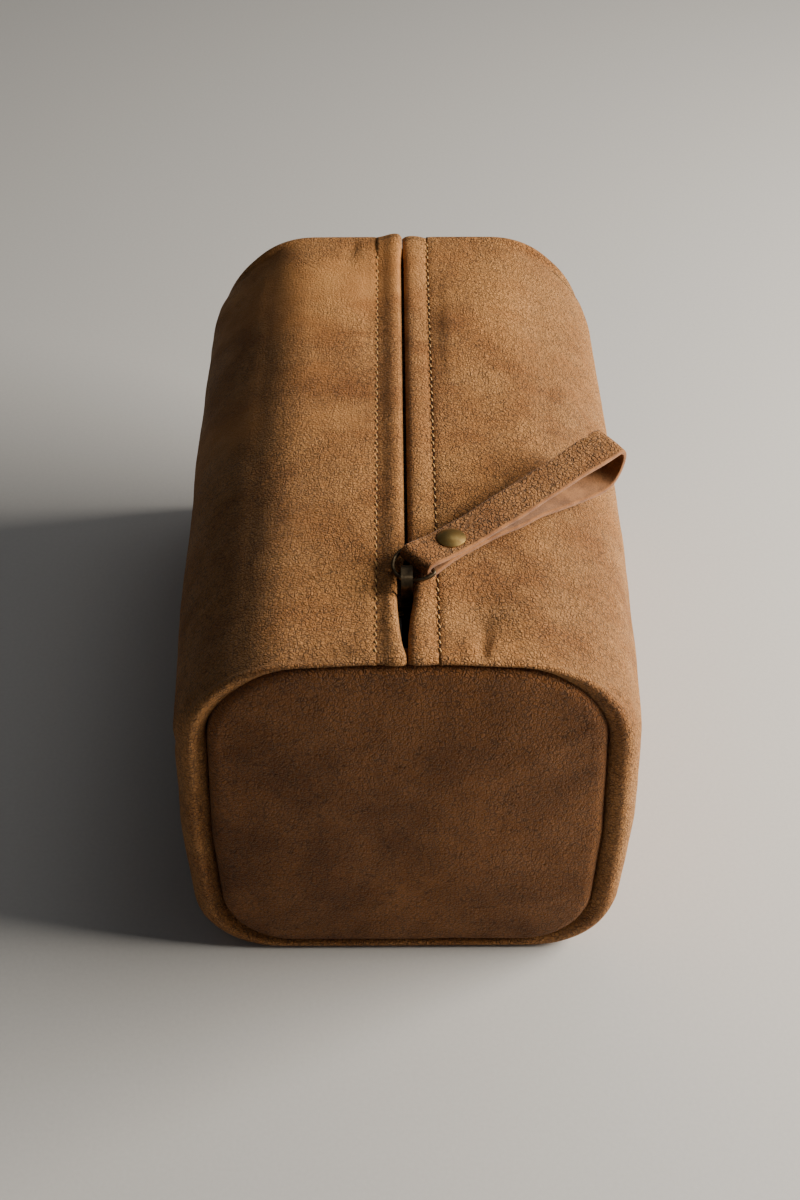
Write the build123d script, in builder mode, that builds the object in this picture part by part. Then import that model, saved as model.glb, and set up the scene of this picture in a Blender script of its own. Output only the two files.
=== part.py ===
from build123d import *
import math
import os

# A leather shaving kit bag: one wrap of leather round a soft box, two end panels, a zip along the top.
# Millimetres, +Z up, +Y along the bag, the slider and its pull at the -Y end. It stands on z = 0.

# ---- driving dimensions ----
BAG_LENGTH = 240.0  # between the two end seams
SKIN_TOP = 129.8  # height of the leather beside the zip
FOLD_RISE = 1.2  # how far the folded mouth edges stand above that
LEATHER = 1.6
HEM_DEPTH = 8.0  # seam allowance turned in at each end
ROLL = 2.6  # rounding of the wrap where it turns in to the end seams
ROLL_STEPS = 4
PUFF = 3.4  # how far an end panel swells past its seam
PANEL_EDGE = 3.0  # rounding of the swollen panel's edge
SEAM_GAP = 0.05
SEAM_THREAD = 0.5
SEAM_DEPTH = 5.0  # how far in from the end the hidden seam runs
GAP = 0.3  # left between moving parts

# Each outline is the hull of round corners and a round side: (x, z, radius), the same on both sides.
BODY_ROUNDS = ((35.0, SKIN_TOP - 40.0, 40.0), (21.0, 58.0, 57.0), (51.0, 24.0, 24.0))
END_ROUNDS = ((35.0, SKIN_TOP - 37.0, 37.0), (16.2, 58.0, 56.5), (46.5, 24.0, 24.0))
PANEL_ROUNDS = ((31.0, 96.8, 30.0), (10.5, 57.0, 52.0), (37.0, 27.5, 24.0))
FULL_FROM = -20.0  # the soft wrap is widest from here
FULL_TO = 104.0  # to here, and narrows towards both ends

# Mouth and zip
MOUTH_WIDTH = 4.8
FOLD_REACH = 13.0  # outer edge of the leather folded under, from the bag's middle
RIDGE_REACH = 7.6  # outer edge of the raised part of the fold
STITCH_X = 9.5
STITCH_PITCH = 4.2
STITCH = (0.6, 2.3, 0.35)
STITCH_COUNT = 56
STITCH_LIFT = 0.02
LINING_INSET = 4.2
LINING = 0.8
LINING_MOUTH = 19.0

TAPE = 0.7
TAPE_EDGE = 1.6
TAPE_REACH = 16.0
CHAIN_Z = 123.9  # middle of the zip chain
TAPE_SEWN_Z = 126.1  # middle of the tape where it is sewn under the fold
TAPE_DIP = (6.4, 8.4)  # where the tape drops from one level to the other

TOOTH_HEIGHT = 2.4
TOOTH_REACH = (-0.6, 2.5)  # head, past the middle, and heel
TOOTH_WIDTH = 1.0
TOOTH_PITCH = 2.4
TOOTH_CLAMP = (1.5, 0.9)  # where the tooth's slot for the tape starts, and its height
CLAMP_DEPTH = 4.0
STOP_LENGTH = 2.4
STOP_WIDTH = 2.4
STOP_CORNER = 0.4

# Slider
SLIDER_Y = -84.5
SLIDER_LENGTH = 12.4
SLIDER_NOSE = 3.9  # half widths at its narrow and wide ends
SLIDER_SHOULDER = 5.4
SLIDER_RIM = 1.0
SLIDER_CORNER = 0.5
CHANNEL = 3.0
PLATE = 0.9
TAPE_SLIT = 1.3
WEDGE = (2.4, 3.6)
BRIDGE_WIDTH = 3.6
BRIDGE_LENGTH = 10.0
BRIDGE_LEG = 1.6
BRIDGE_TOP = 135.3
BRIDGE_THICKNESS = 1.2
BRIDGE_ARCH = (3.2, 2.0)  # outer and inner rounding
BOTTOM_STOP_Y = 107.0

# Pull: a D-ring through the bridge, and a strap folded over the ring's bar and riveted
PULL_ANGLE = 40.5  # the strap's heading, from +X towards +Y
BAR = (4.0, -77.6, 134.0)
RING_WIRE = 0.65
RING_RADIUS = 7.4
RING_ARM = 1.3
RING_CORNER = 1.0
RING_TILT = 11.5  # the ring rises towards its bar
STRAP_WIDTH = 12.7
STRAP = 1.6
STRAP_END = 85.6  # from the bar to the far end of the loop
BAR_EYE = 1.1
LOOP_START = 18.0
LOOP_MIDDLE = (45.0, -0.1, 1.8)  # distance, height and radius of the loop's eye half way
LOOP_EYE = 4.9
LOOP_LIFT = -0.3
EYE_TIP = 0.05  # where the two layers part
RIVET_AT = 13.2
RIVET_CAP = 4.5
RIVET_HEIGHT = 1.6
RIVET_RIM = 0.35
RIVET_FOOT = 3.6
RIVET_FOOT_HEIGHT = 1.0
RIVET_FOOT_EDGE = 0.5
RIVET_STEM = 1.5
RIVET_HOLE = 1.6

HALF = BAG_LENGTH / 2
HEM_END = HALF - HEM_DEPTH
FOLD_UNDER = SKIN_TOP - 2 * LEATHER
LINING_HALF = HEM_END - 2 * LINING
TAPE_HALF = HEM_END - 0.2
CHAIN_START = SLIDER_Y + TOOTH_WIDTH
TOOTH_COUNT = int((BOTTOM_STOP_Y - 2 * TOOTH_PITCH - CHAIN_START) / TOOTH_PITCH)
SLIDER_TRAVEL = BOTTOM_STOP_Y - SLIDER_LENGTH / 2 - GAP - SLIDER_Y

HEADING = Vector(math.cos(math.radians(PULL_ANGLE)), math.sin(math.radians(PULL_ANGLE)), 0)
ACROSS = Vector(HEADING.Y, -HEADING.X, 0)


def end_plane(y):
    """A plane across the bag at that y, seen from its front end."""
    return Plane(origin=(0, y, 0), x_dir=(1, 0, 0), z_dir=(0, -1, 0))


def outline(rounds, y, inset=0.0):
    """The bag's rounded outline at y, drawn in by inset."""
    with BuildSketch(end_plane(y)) as profile:
        for x, z, radius in rounds:
            with Locations((x, z), (-x, z)):
                Circle(radius - inset)
        make_hull()
    return profile.sketch


def box_shape(half, inset, rolled=()):
    """The soft box that the wrap lies round, drawn in by inset. rolled holds the steps of its rounded ends."""
    ends = [(half - depth, inset + drawn_in) for depth, drawn_in in rolled or [(0, 0)]]
    sections = [outline(END_ROUNDS, -y, drawn_in) for y, drawn_in in ends]
    sections += [outline(BODY_ROUNDS, y, inset) for y in (FULL_FROM, FULL_TO)]
    sections += [outline(END_ROUNDS, y, drawn_in) for y, drawn_in in reversed(ends)]
    return loft(sections, ruled=True, mode=Mode.PRIVATE)


def save(piece, name):
    piece.part.label = name
    export_step(piece.part, f"parts/{name}.step")


os.makedirs("parts", exist_ok=True)

# ---- leather wrap: open along the mouth, turned in at both end seams ----
turns = [math.radians(90 * k / ROLL_STEPS) for k in range(ROLL_STEPS + 1)]
rolled_over = [(ROLL * (1 - math.cos(turn)), ROLL * (1 - math.sin(turn))) for turn in turns]
panel_opening = outline(PANEL_ROUNDS, HALF)
rear_hem = outline(PANEL_ROUNDS, HALF - LEATHER / 2, -LEATHER)
front_hem = outline(PANEL_ROUNDS, -HEM_END, -LEATHER)

with BuildPart() as body_panel:
    add(box_shape(HALF, 0, rolled_over))
    add(box_shape(HALF - LEATHER, LEATHER), mode=Mode.SUBTRACT)
    extrude(rear_hem, amount=HEM_DEPTH - LEATHER / 2)
    extrude(front_hem, amount=HEM_DEPTH - LEATHER / 2)
    extrude(panel_opening, amount=BAG_LENGTH, mode=Mode.SUBTRACT)
    with BuildSketch(Plane.XY.offset(FOLD_UNDER)):
        Rectangle(2 * FOLD_REACH, 2 * HEM_END)
    extrude(amount=2 * LEATHER)
    with BuildSketch(Plane.XY.offset(SKIN_TOP - LEATHER)):
        Rectangle(2 * RIDGE_REACH, BAG_LENGTH - 2 * ROLL)
    extrude(amount=LEATHER + FOLD_RISE)
    ridge_top = body_panel.faces().sort_by(Axis.Z)[-1]
    fillet(ridge_top.edges().filter_by(Axis.Y), FOLD_RISE * 0.8)
    with BuildSketch(Plane.XY.offset(FOLD_UNDER - LEATHER)):
        Rectangle(MOUTH_WIDTH, BAG_LENGTH)
    extrude(amount=4 * LEATHER, mode=Mode.SUBTRACT)
save(body_panel, "body_panel")


# ---- end panels: swollen sheets whose hems turn in beside the wrap's ----
panel_outside = outline(PANEL_ROUNDS, -HEM_END, SEAM_GAP)
panel_inside = outline(PANEL_ROUNDS, -HEM_END, LEATHER + SEAM_GAP)

with BuildPart() as front_end_panel:
    extrude(panel_outside, amount=HEM_DEPTH + PUFF)
    fillet(front_end_panel.edges().group_by(Axis.Y)[0], PANEL_EDGE)
    extrude(panel_inside, amount=HEM_DEPTH + PUFF - LEATHER, mode=Mode.SUBTRACT)
save(front_end_panel, "front_end_panel")

with BuildPart() as rear_end_panel:
    mirror(front_end_panel.part, about=Plane.XZ)
save(rear_end_panel, "rear_end_panel")

# ---- the seam threads, inside the turned-in hems ----
thread_inset = LEATHER + 2 * SEAM_GAP
thread_outside = outline(PANEL_ROUNDS, SEAM_DEPTH - HALF, thread_inset)
thread_inside = outline(PANEL_ROUNDS, SEAM_DEPTH - HALF, thread_inset + SEAM_THREAD)

with BuildPart() as front_seam_thread:
    extrude(thread_outside, amount=SEAM_THREAD)
    extrude(thread_inside, amount=SEAM_THREAD, mode=Mode.SUBTRACT)
save(front_seam_thread, "front_seam_thread")

with BuildPart() as rear_seam_thread:
    mirror(front_seam_thread.part, about=Plane.XZ)
save(rear_seam_thread, "rear_seam_thread")

# ---- lining: a sleeve, open under the zip, and an end at each side ----
with BuildPart() as body_lining:
    add(box_shape(LINING_HALF, LINING_INSET))
    add(box_shape(LINING_HALF, LINING_INSET + LINING), mode=Mode.SUBTRACT)
    with BuildSketch(Plane.XY.offset(SKIN_TOP - 2 * LINING_INSET)):
        Rectangle(LINING_MOUTH, BAG_LENGTH)
    extrude(amount=2 * LINING_INSET, mode=Mode.SUBTRACT)
save(body_lining, "body_lining")

for end, name in ((-LINING_HALF, "front_end_lining"), (LINING_HALF + LINING, "rear_end_lining")):
    lining_end = outline(END_ROUNDS, end, LINING_INSET)
    with BuildPart() as end_lining:
        extrude(lining_end, amount=LINING)
        with BuildSketch(Plane.XY.offset(CHAIN_Z - CHANNEL)):
            Rectangle(LINING_MOUTH, BAG_LENGTH)
        extrude(amount=2 * CHANNEL, mode=Mode.SUBTRACT)
    save(end_lining, name)


# ---- zip tapes: flat beside the chain, stepping up to where they are sewn under the folds ----
tape_line = (
    (TAPE_EDGE, CHAIN_Z),
    (TAPE_DIP[0], CHAIN_Z),
    (TAPE_DIP[1], TAPE_SEWN_Z),
    (TAPE_REACH, TAPE_SEWN_Z),
)
with BuildPart() as zip_tape_right:
    with BuildSketch(end_plane(TAPE_HALF)):
        with BuildLine():
            lower = [(x, z - TAPE / 2) for x, z in tape_line]
            upper = [(x, z + TAPE / 2) for x, z in reversed(tape_line)]
            Polyline(*lower, *upper, close=True)
        make_face()
    extrude(amount=2 * TAPE_HALF)
save(zip_tape_right, "zip_tape_right")

with BuildPart() as zip_tape_left:
    mirror(zip_tape_right.part, about=Plane.YZ)
save(zip_tape_left, "zip_tape_left")

# ---- zip teeth: clamped on the tape edges, each row between the other's teeth ----
tooth_length = TOOTH_REACH[1] - TOOTH_REACH[0]
tooth_middle = (TOOTH_REACH[1] + TOOTH_REACH[0]) / 2


def clamp_slot(side):
    """The slot for a tape's edge through whatever is clamped on it, on the side +1 or -1."""
    slot_start, slot_height = TOOTH_CLAMP
    slot = Box(CLAMP_DEPTH, 2 * BAG_LENGTH, slot_height, mode=Mode.PRIVATE)
    return slot.moved(Location((side * (slot_start + CLAMP_DEPTH / 2), 0, CHAIN_Z)))


for side, name in ((1, "zip_teeth_right"), (-1, "zip_teeth_left")):
    first = CHAIN_START + (0.5 * TOOTH_PITCH if side > 0 else TOOTH_PITCH)
    places = [(side * tooth_middle, first + n * TOOTH_PITCH) for n in range(TOOTH_COUNT)]
    with BuildPart() as teeth:
        with BuildSketch(Plane.XY.offset(CHAIN_Z - TOOTH_HEIGHT / 2)):
            with Locations(*places):
                Rectangle(tooth_length, TOOTH_WIDTH)
        extrude(amount=TOOTH_HEIGHT)
        add(clamp_slot(side), mode=Mode.SUBTRACT)
    save(teeth, name)

# ---- stops: one on each tape at the closed end, and one across both at the open end ----
top_stop_y = SLIDER_Y - SLIDER_LENGTH / 2 - GAP - STOP_LENGTH / 2
for side, name in ((1, "top_stop_right"), (-1, "top_stop_left")):
    with BuildPart() as top_stop:
        with BuildSketch(Plane.XY.offset(CHAIN_Z - TOOTH_HEIGHT / 2)):
            with Locations((side * (TAPE_EDGE + STOP_WIDTH / 4), top_stop_y)):
                RectangleRounded(STOP_WIDTH, STOP_LENGTH, STOP_CORNER)
        extrude(amount=TOOTH_HEIGHT)
        add(clamp_slot(side), mode=Mode.SUBTRACT)
    save(top_stop, name)

with BuildPart() as bottom_stop:
    with BuildSketch(Plane.XY.offset(CHAIN_Z - TOOTH_HEIGHT / 2)):
        with Locations((0, BOTTOM_STOP_Y + STOP_LENGTH / 2)):
            RectangleRounded(2 * TOOTH_REACH[1], STOP_LENGTH, STOP_CORNER)
    extrude(amount=TOOTH_HEIGHT)
    add(clamp_slot(1), mode=Mode.SUBTRACT)
    add(clamp_slot(-1), mode=Mode.SUBTRACT)
save(bottom_stop, "bottom_stop")

# ---- stitching: a row of thread stitches along each side of the mouth ----
stitch_width, stitch_length, stitch_height = STITCH
for side, name in ((1, "zip_stitching_right"), (-1, "zip_stitching_left")):
    with BuildPart() as stitching:
        with BuildSketch(Plane.XY.offset(SKIN_TOP + STITCH_LIFT)):
            with Locations((side * STITCH_X, 0)):
                with GridLocations(1, STITCH_PITCH, 1, STITCH_COUNT):
                    Rectangle(stitch_width, stitch_length)
        extrude(amount=stitch_height)
    save(stitching, name)


# ---- slider: two plates round the chain, joined by a wedge, and the bridge that holds the ring ----
def shield(nose, shoulder, length):
    """Half of the slider's outline seen from above, narrow end towards +Y, as points."""
    return [
        (0, length / 2),
        (nose, length / 2),
        (shoulder, -0.12 * length),
        (shoulder, -0.4 * length),
        (shoulder - 0.1 * length, -length / 2),
        (0, -length / 2),
    ]


with BuildPart() as slider_body:
    slider_bottom = CHAIN_Z - CHANNEL / 2 - PLATE
    with BuildSketch(Plane(origin=(0, SLIDER_Y, slider_bottom))):
        with BuildLine():
            Polyline(*shield(SLIDER_NOSE, SLIDER_SHOULDER, SLIDER_LENGTH), close=True)
        make_face()
        mirror(about=Plane.YZ)
    extrude(amount=CHANNEL + 2 * PLATE)
    fillet(slider_body.edges().filter_by(Axis.Z), SLIDER_CORNER)
    with BuildSketch(Plane(origin=(0, SLIDER_Y, CHAIN_Z - CHANNEL / 2))):
        with BuildLine():
            inner_nose = SLIDER_NOSE - SLIDER_RIM
            inner_shoulder = SLIDER_SHOULDER - SLIDER_RIM
            Polyline(
                (0, SLIDER_LENGTH),
                (inner_nose, SLIDER_LENGTH),
                (inner_nose, SLIDER_LENGTH / 2),
                (inner_shoulder, -0.12 * SLIDER_LENGTH),
                (inner_shoulder, -SLIDER_LENGTH),
                (0, -SLIDER_LENGTH),
                close=True,
            )
        make_face()
        mirror(about=Plane.YZ)
    extrude(amount=CHANNEL, mode=Mode.SUBTRACT)
    with BuildSketch(Plane(origin=(0, SLIDER_Y, CHAIN_Z - TAPE_SLIT / 2))):
        Rectangle(4 * SLIDER_SHOULDER, 2 * SLIDER_LENGTH)
    extrude(amount=TAPE_SLIT, mode=Mode.SUBTRACT)
    with BuildSketch(Plane(origin=(0, SLIDER_Y - 0.3 * SLIDER_LENGTH, CHAIN_Z - CHANNEL / 2))):
        Ellipse(WEDGE[0] / 2, WEDGE[1] / 2)
    extrude(amount=CHANNEL)
save(slider_body, "slider_body")

slider_top = CHAIN_Z + CHANNEL / 2 + PLATE
bridge_height = BRIDGE_TOP - slider_top
with BuildPart() as slider_bridge:
    with BuildSketch(Plane(origin=(0, SLIDER_Y, slider_top), x_dir=(0, 1, 0), z_dir=(1, 0, 0))):
        with Locations((0, bridge_height / 2)):
            Rectangle(BRIDGE_LENGTH, bridge_height)
    extrude(amount=BRIDGE_WIDTH / 2, both=True)
    upper = slider_bridge.edges().filter_by(Axis.X).group_by(Axis.Z)[-1]
    fillet(upper, BRIDGE_ARCH[0])
    with BuildSketch(Plane(origin=(0, SLIDER_Y, slider_top), x_dir=(0, 1, 0), z_dir=(1, 0, 0))):
        gap_height = bridge_height - BRIDGE_THICKNESS
        with Locations((0, gap_height / 2 - 1)):
            RectangleRounded(BRIDGE_LENGTH - 2 * BRIDGE_LEG, gap_height + 2, BRIDGE_ARCH[1])
        with Locations((0, 1)):
            Rectangle(BRIDGE_LENGTH - 2 * BRIDGE_LEG, 4)
    extrude(amount=BRIDGE_WIDTH, both=True, mode=Mode.SUBTRACT)
save(slider_bridge, "slider_bridge")

# ---- pull ring: a D of round wire, its bar inside the strap, its bow through the bridge ----
tilt = math.radians(RING_TILT)
ring_axis = HEADING * math.cos(tilt) + Vector(0, 0, 1) * math.sin(tilt)
ring_normal = ACROSS.cross(ring_axis)
ring_plane = Plane(origin=BAR, x_dir=ring_axis, z_dir=ring_normal)

with BuildPart() as pull_ring:
    with BuildLine(ring_plane) as ring_path:
        bow_start = (-RING_ARM, RING_RADIUS)
        bow_end = (-RING_ARM, -RING_RADIUS)
        bow = ThreePointArc(bow_start, (-RING_ARM - RING_RADIUS, 0), bow_end)
        arms = FilletPolyline(
            bow_end, (0, -RING_RADIUS), (0, RING_RADIUS), bow_start, radius=RING_CORNER
        )
    with BuildSketch(Plane(origin=bow @ 0, z_dir=bow % 0)):
        Circle(RING_WIRE)
    sweep(path=ring_path.wires()[0])
save(pull_ring, "pull_ring")

# ---- pull strap: one strip, folded round the bar, riveted, and open as a loop beyond the rivet ----
strap_plane = Plane(origin=BAR, x_dir=HEADING, z_dir=ACROSS)


def tapered(*rounds):
    """The shape that a chain of circles (distance, height, radius) spans, two at a time."""
    with BuildSketch() as shape:
        for first, second in zip(rounds, rounds[1:]):
            with BuildSketch(mode=Mode.PRIVATE) as span:
                for distance, height, radius in (first, second):
                    with Locations((distance, height)):
                        Circle(radius)
                make_hull()
            add(span.sketch)
    return shape.sketch


strap_face = STRAP + EYE_TIP  # outer faces of the riveted layers, from their middle
loop_tip = (STRAP_END - STRAP - LOOP_EYE, LOOP_LIFT, LOOP_EYE)
eyes = (
    ((0, 0, BAR_EYE), (LOOP_START / 2, 0, EYE_TIP)),
    ((LOOP_START, 0, EYE_TIP), LOOP_MIDDLE, loop_tip),
)
with BuildPart() as pull_strap:
    for eye in eyes:
        thick = [(distance, height, radius + STRAP) for distance, height, radius in eye]
        extrude(strap_plane * tapered(*thick), amount=STRAP_WIDTH / 2, both=True)
    with BuildSketch(strap_plane):
        with Locations((0.75 * LOOP_START, 0)):
            Rectangle(0.5 * LOOP_START, 2 * strap_face)
    extrude(amount=STRAP_WIDTH / 2, both=True)
    for eye in eyes:
        extrude(strap_plane * tapered(*eye), amount=STRAP_WIDTH, both=True, mode=Mode.SUBTRACT)
    rivet_place = Vector(*BAR) + HEADING * RIVET_AT
    with Locations(rivet_place):
        Hole(RIVET_HOLE)
save(pull_strap, "pull_strap")

# ---- rivet: a domed cap and a flat foot with its stem ----
with BuildPart() as rivet_cap:
    with BuildSketch(Plane(origin=rivet_place, x_dir=(1, 0, 0), z_dir=(0, -1, 0))):
        with BuildLine():
            rim = (RIVET_CAP, strap_face + RIVET_RIM)
            crown = (0, strap_face + RIVET_HEIGHT)
            Polyline(crown, (0, strap_face), (RIVET_CAP, strap_face), rim)
            TangentArc(crown, rim, tangent=(1, 0))
        make_face()
    revolve(axis=Axis(rivet_place, (0, 0, 1)))
save(rivet_cap, "rivet_cap")

with BuildPart() as rivet_base:
    with Locations(rivet_place - Vector(0, 0, strap_face + RIVET_FOOT_HEIGHT / 2)):
        Cylinder(RIVET_FOOT, RIVET_FOOT_HEIGHT)
    fillet(rivet_base.edges().group_by(Axis.Z)[0], RIVET_FOOT_EDGE)
    with Locations(rivet_place):
        Cylinder(RIVET_STEM, 2 * strap_face)
save(rivet_base, "rivet_base")

print(f"slider travel {SLIDER_TRAVEL:.1f} mm, teeth in each row {TOOTH_COUNT}")
print(f"heading {HEADING.X:.5f} {HEADING.Y:.5f}, across {ACROSS.X:.5f} {ACROSS.Y:.5f}")
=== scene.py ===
import math

import bpy
import numpy as np
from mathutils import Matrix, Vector, noise


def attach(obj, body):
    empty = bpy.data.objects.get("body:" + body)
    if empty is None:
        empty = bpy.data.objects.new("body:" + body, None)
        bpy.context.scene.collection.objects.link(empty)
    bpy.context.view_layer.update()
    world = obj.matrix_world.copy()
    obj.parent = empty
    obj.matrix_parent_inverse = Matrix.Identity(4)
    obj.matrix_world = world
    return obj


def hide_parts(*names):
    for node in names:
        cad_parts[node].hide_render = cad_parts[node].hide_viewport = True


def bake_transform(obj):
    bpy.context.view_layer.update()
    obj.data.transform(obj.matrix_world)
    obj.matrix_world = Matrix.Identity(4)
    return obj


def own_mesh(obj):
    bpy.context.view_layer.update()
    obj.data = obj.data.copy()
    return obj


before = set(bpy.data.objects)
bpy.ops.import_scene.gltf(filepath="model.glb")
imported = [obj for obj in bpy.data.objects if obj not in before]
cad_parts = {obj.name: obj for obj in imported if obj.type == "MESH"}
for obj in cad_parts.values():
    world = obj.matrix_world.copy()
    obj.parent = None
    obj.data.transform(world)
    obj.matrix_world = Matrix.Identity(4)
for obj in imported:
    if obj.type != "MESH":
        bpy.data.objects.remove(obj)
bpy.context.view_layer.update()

# The looks of a leather shaving kit bag. Shapes are worked out in millimetres, in the frame of the
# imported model: +Z up, +Y along the bag, the slider and its pull at the -Y end. MM turns them into metres.
MM = 0.001

# ---- the bag ----
HALF = 120.0  # from the bag's middle to either end seam
TOP = 129.8
LEATHER = 1.6
WIDEST_Z = 58.0  # the height at which the bag is widest
MIDDLE_Z = 62.0  # the middle of the end panels and the lining
BODY_ROUNDS = ((35.0, TOP - 40.0, 40.0), (21.0, WIDEST_Z, 57.0), (51.0, 24.0, 24.0))
END_ROUNDS = ((35.0, TOP - 37.0, 37.0), (16.2, WIDEST_Z, 56.5), (46.5, 24.0, 24.0))
PANEL_ROUNDS = ((31.0, 97.4, 30.4), (10.5, 57.0, 52.0), (37.0, 27.5, 24.0))
PANEL_TOP = PANEL_ROUNDS[0][1] + PANEL_ROUNDS[0][2]
FULL_FROM = -20.0  # the soft wrap is widest from here
FULL_TO = 104.0  # to here, and narrows towards both ends
SEAM_TURN = math.radians(150)  # how far the wrap turns over the rim, into the seam
RIM = 0.8  # how far the rim stands past the end seam
REAR_BULGE = 1.6  # the rear rim stands out further
FAR_RISE = 1.5  # how much higher the soft top stands at its far end
NEAR_RISE = 1.8  # and in the middle of its near end
HEM_DEPTH = 8.0
PUFF = 2.4
PANEL_ROLL = 3.4
SEAM_INSET = 1.95  # from the panel's outline in to the hidden seam
SEAM_Y = HALF - 4.75
SEAM_STITCHES = 136
SEAM_STITCH = (2.4, 0.45, 0.1)

# ---- the mouth ----
SIDES = ((1, "right"), (-1, "left"))
GROOVE_X = 9.3  # where the folds meet the rest of the wrap, in the stitched groove
STITCH_X = 9.5
STITCH_PITCH = 4.2
STITCH_COUNT = 56
STITCH_SLANT = -0.26
MOUTH_STITCH = (2.3, 0.48, 0.36)  # length, width and height
NEEDLE_HOLE = {1: (0.8, 2.0), -1: (0.95, 1.4)}  # each side's width and length
GROOVE_DEPTH = 0.45
FOLD_UNDER = 3.0  # from the top down to the folds' underside
FOLD_TUCK = 9.6  # where a fold's outer edge lies, hidden under the wrap's
GAP_PLACES = (-121.0, -118.0, -113.0, -107.0, -100.0, -94.0, -90.0, -79.0, -75.0, -70.0, 104.0, 113.0)
GAP_LEFT = (0.15, 0.25, 1.4, 2.0, 2.5, 2.9, 3.0, 2.9, 1.2, 0.52, 0.52, 0.06)
GAP_RIGHT = (0.12, 0.12, 0.1, 0.25, 0.8, 1.5, 2.0, 2.1, 1.0, 0.52, 0.52, 0.06)
PARTING = (-115.0, -91.0)  # the folds stay with the bag before this stretch, and part round the slider from its start
PARTED_END = -68.0
FAR_FOLD = 118.3
FOLD_ROLL = 2.4  # how far a fold reaches over the rim
CREST = {1: 0.8, -1: 1.2}  # how high each side's fold stands
FAR_CREST = {1: 0.2, -1: 1.0}  # and how much higher at its far end

# ---- the lining ----
LINING_INSET = 4.3
LINING_REACH = 9.6  # how near the bag's middle the sleeve comes on top
LINING_HALF = 110.0
LINING_TOP = 120.4

# ---- the zip ----
CHAIN_Z = 123.9
TOOTH_PITCH = 2.4
CHAIN_START = -82.1
CHAIN_END = 106.7
ROW_START = -88.7  # the open rows of teeth, hidden under the folds
TAPE_HALF = 111.8
TAPE_LINE = (
    (1.6, CHAIN_Z), (4.0, CHAIN_Z), (6.4, CHAIN_Z + 0.1), (8.4, 126.0), (10.6, 126.1), (16.0, 126.1),
)
TAPE = 0.6

# ---- the pull ----
BAR = np.array((4.0, -77.6, 134.0))
PULL_ANGLE = math.radians(40.5)
HEADING = np.array((math.cos(PULL_ANGLE), math.sin(PULL_ANGLE), 0.0))
ACROSS = np.array((math.sin(PULL_ANGLE), -math.cos(PULL_ANGLE), 0.0))
UP = np.array((0.0, 0.0, 1.0))
STRAP_HALF = 6.35
STRAP = 1.6
RIVET_AT = 13.2


# ======== shapes ========
def smooth(value, low, high):
    """0 below low, 1 above high, and a smooth step between them."""
    t = np.clip((value - low) / (high - low), 0, 1)
    return t * t * (3 - 2 * t)


def cloud(points, size, seed=0.0):
    """Soft noise between -1 and 1 with lumps of that size, in millimetres."""
    shift = Vector((seed, 2.7 * seed, -1.3 * seed))
    return np.array([noise.noise(Vector(p) / size + shift) for p in points])


def outline(rounds, inset=0.0, steps=1440):
    """The outline (x, z), clockwise from the top: the hull of the mirrored circles, drawn in by inset."""
    angle = (np.arange(steps) + 0.5) * 2 * math.pi / steps
    normal = np.stack([np.sin(angle), np.cos(angle)], 1)
    circles = np.array([(side * x, z, radius - inset) for x, z, radius in rounds for side in (1, -1)])
    best = (normal @ circles[:, :2].T + circles[:, 2]).argmax(1)
    return circles[best, :2] + normal * circles[best, 2:3]


def opened(closed_outline, reach):
    """The outline as an open path that starts and ends at x = reach and -reach on its flat top."""
    top = closed_outline[0, 1]
    return np.vstack([[(reach, top)], closed_outline, [(-reach, top)]])


def shares(path):
    """How far along the path each of its points is, from 0 to 1."""
    step = np.linalg.norm(np.diff(path, axis=0), axis=1)
    return np.concatenate([[0], np.cumsum(step)]) / step.sum()


def along(path, at):
    """The points at those shares of the path's length."""
    share = shares(path)
    return np.stack([np.interp(at, share, path[:, k]) for k in range(path.shape[1])], 1)


def spread(path, pitch):
    """Shares of the path's length that put points about pitch(points) apart."""
    fine = along(path, np.linspace(0, 1, 3000))
    step = np.linalg.norm(np.diff(fine, axis=0), axis=1)
    middle = (fine[1:] + fine[:-1]) / 2
    weight = np.concatenate([[0], np.cumsum(step / pitch(middle))])
    count = max(2, int(round(weight[-1])))
    return np.interp(np.linspace(0, weight[-1], count + 1), weight, np.linspace(0, 1, len(fine)))


def curve(points, pitch, closed=False):
    """Evenly spaced points on a smooth curve through the given ones."""
    knots = np.asarray(points, float)
    if closed:
        ring = np.vstack([knots[-1:], knots, knots[:2]])
    else:
        ring = np.vstack([2 * knots[0] - knots[1], knots, 2 * knots[-1] - knots[-2]])
    t = np.linspace(0, 1, 24, endpoint=False)[:, None]
    pieces = []
    for before, start, end, after in zip(ring, ring[1:], ring[2:], ring[3:]):
        a, b, c = (np.linalg.norm(v) ** 0.5 for v in (start - before, end - start, after - end))
        leave = ((start - before) / a - (end - before) / (a + b) + (end - start) / b) * b
        arrive = ((end - start) / b - (after - start) / (b + c) + (after - end) / c) * b
        bend = 3 * (end - start) - 2 * leave - arrive
        turn = 2 * (start - end) + leave + arrive
        pieces.append(start + leave * t + bend * t**2 + turn * t**3)
    pieces.append(ring[-2:-1])
    path = np.vstack(pieces)
    length = np.linalg.norm(np.diff(path, axis=0), axis=1).sum()
    return along(path, np.linspace(0, 1, max(2, int(round(length / pitch))) + 1))


def grid_faces(rows, columns, close_rows=False, close_columns=False):
    """The four-cornered faces of a grid of points stored row by row."""
    faces = []
    for i in range(rows if close_rows else rows - 1):
        for j in range(columns if close_columns else columns - 1):
            across, on = (j + 1) % columns, (i + 1) % rows
            faces.append((i * columns + j, i * columns + across, on * columns + across, on * columns + j))
    return faces


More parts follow.
